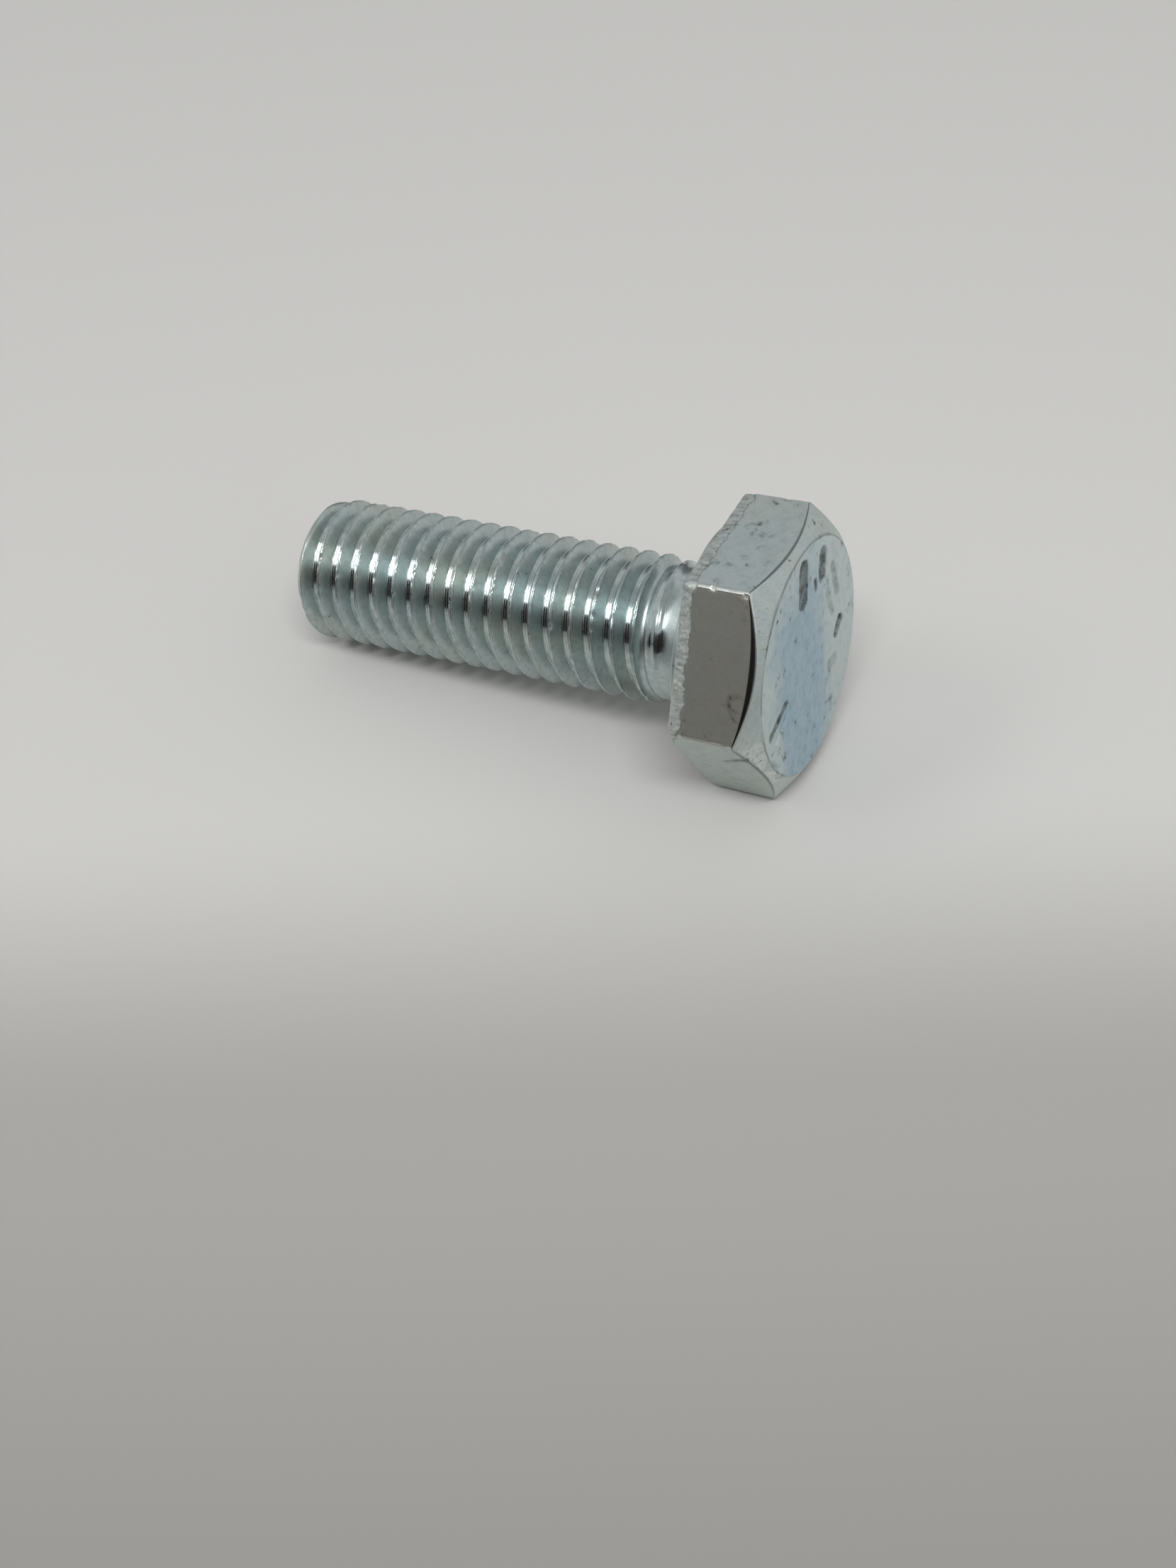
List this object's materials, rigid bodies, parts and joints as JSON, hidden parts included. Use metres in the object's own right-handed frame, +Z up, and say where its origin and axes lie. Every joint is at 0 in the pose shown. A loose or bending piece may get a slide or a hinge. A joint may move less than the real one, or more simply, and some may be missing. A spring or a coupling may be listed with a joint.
{
  "type": "hexagon head bolt",
  "caption": "Zinc-plated steel bolt with a bevelled hexagon head, thin washer face, short plain neck and a coarse right-hand thread to the tip.",
  "frame": {"origin": "centre of the bounding box on the ground plane under the bolt as it lies at rest", "axes": "+X from the tip towards the head, +Z up; the bolt's own axis lies in the XZ plane and rises about 6.7 degrees towards the head"},
  "size_m": [0.0378, 0.0194, 0.0174],
  "materials": {
    "zinc_plate": "satin"
  },
  "bodies": {
    "root": {"bolt": "zinc_plate"}
  },
  "joints": []
}
